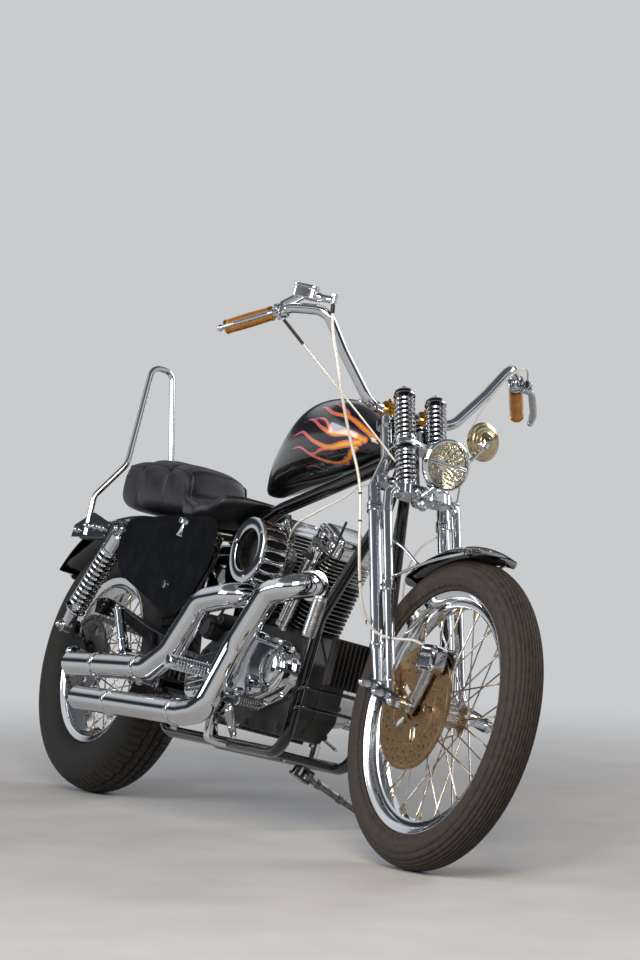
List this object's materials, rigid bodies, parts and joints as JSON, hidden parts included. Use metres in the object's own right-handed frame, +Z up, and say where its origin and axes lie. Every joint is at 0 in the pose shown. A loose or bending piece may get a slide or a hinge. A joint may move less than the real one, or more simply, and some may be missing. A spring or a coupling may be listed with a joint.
{
  "type": "chopper motorcycle",
  "caption": "Long-fork chopper motorcycle leaning on its side stand: springer fork, high bar, finned V-twin, staggered exhaust pipes, stepped seat, wire wheels and tall sissy bar",
  "frame": {"origin": "on the floor under the middle of the bounding box of the parked machine, which leans 14.8 degrees to its left on its side stand", "axes": "+X is the direction the machine points and rolls, +Y is to the left of a rider in the saddle, the side it leans to, and +Z is up; the floor is Z = 0"},
  "size_m": [2.3836, 0.9374, 1.3169],
  "materials": {
    "tyre": "ribbed and blocked rubber, slightly dusty",
    "chrome": "polished chrome plate",
    "disc": "ground stainless brake disc",
    "steel": "plain and zinc-plated steel",
    "brass": "polished brass",
    "grip": "moulded amber grip sleeve",
    "lamp": "chrome shell with a clear prismatic lens",
    "black_paint": "gloss black paint",
    "hose": "clear sleeve over braided steel",
    "case": "black wrinkle-painted casting with bright fin edges",
    "leather": "stitched black leather",
    "red_lens": "red lens in a chrome rim"
  },
  "bodies": {
    "root": {"throttle_cable": "hose", "clutch_cable": "hose", "frame": "black_paint", "swingarm": "black_paint", "rear_fender": "black_paint", "shocks": "chrome", "crankcase": "case", "primary_cover": "chrome", "cam_cover": "chrome", "cylinders": "case", "rocker_boxes": "chrome", "pushrod_tubes": "chrome", "intake": "steel", "air_cleaner": "chrome", "exhaust_rear": "chrome", "exhaust_front": "chrome", "fuel_tank": "black_paint", "seat": "leather", "sissy_bar": "chrome", "oil_tank": "black_paint", "battery_cover": "black_paint", "foot_controls": "chrome", "passenger_pegs": "chrome", "regulator": "black_paint", "canister": "steel", "tail_lamp": "red_lens", "drive_chain": "steel", "rear_caliper": "case"},
    "fork": {"fork_rear_legs": "chrome", "fork_front_legs": "chrome", "fork_springs": "chrome", "fork_rockers": "chrome", "risers": "brass", "handlebar": "chrome", "grips": "grip", "hand_controls": "chrome", "headlight": "lamp", "mirror": "chrome", "front_fender": "black_paint", "front_caliper": "chrome", "brake_hose": "hose"},
    "front_wheel": {"front_tyre": "tyre", "front_rim": "chrome", "front_hub": "chrome", "front_disc": "disc"},
    "rear_wheel": {"rear_tyre": "tyre", "rear_rim": "chrome", "rear_hub": "chrome", "rear_sprocket": "steel"},
    "side_stand": {"side_stand": "steel"}
  },
  "joints": [
    {"name": "steering", "type": "hinge", "parent": "root", "child": "fork", "pos_m": [0.3677, -0.00755, 0.96876], "axis": [-0.4611, 0.2266, 0.8579], "range_deg": [-30, 30], "deforming": ["throttle_cable", "clutch_cable"]},
    {"name": "front_wheel_spin", "type": "hinge", "parent": "fork", "child": "front_wheel", "pos_m": [0.83525, -0.17181, 0.34675], "axis": [-0.0002, 0.9668, -0.2554], "continuous": true},
    {"name": "rear_wheel_spin", "type": "hinge", "parent": "root", "child": "rear_wheel", "pos_m": [-0.80476, -0.17717, 0.32764], "axis": [-0.0002, 0.9668, -0.2554], "continuous": true},
    {"name": "side_stand_fold", "type": "hinge", "parent": "root", "child": "side_stand", "pos_m": [0.07509, -0.10418, 0.12567], "axis": [0.0338, 0.5619, 0.8265], "range_deg": [0, 96]}
  ]
}
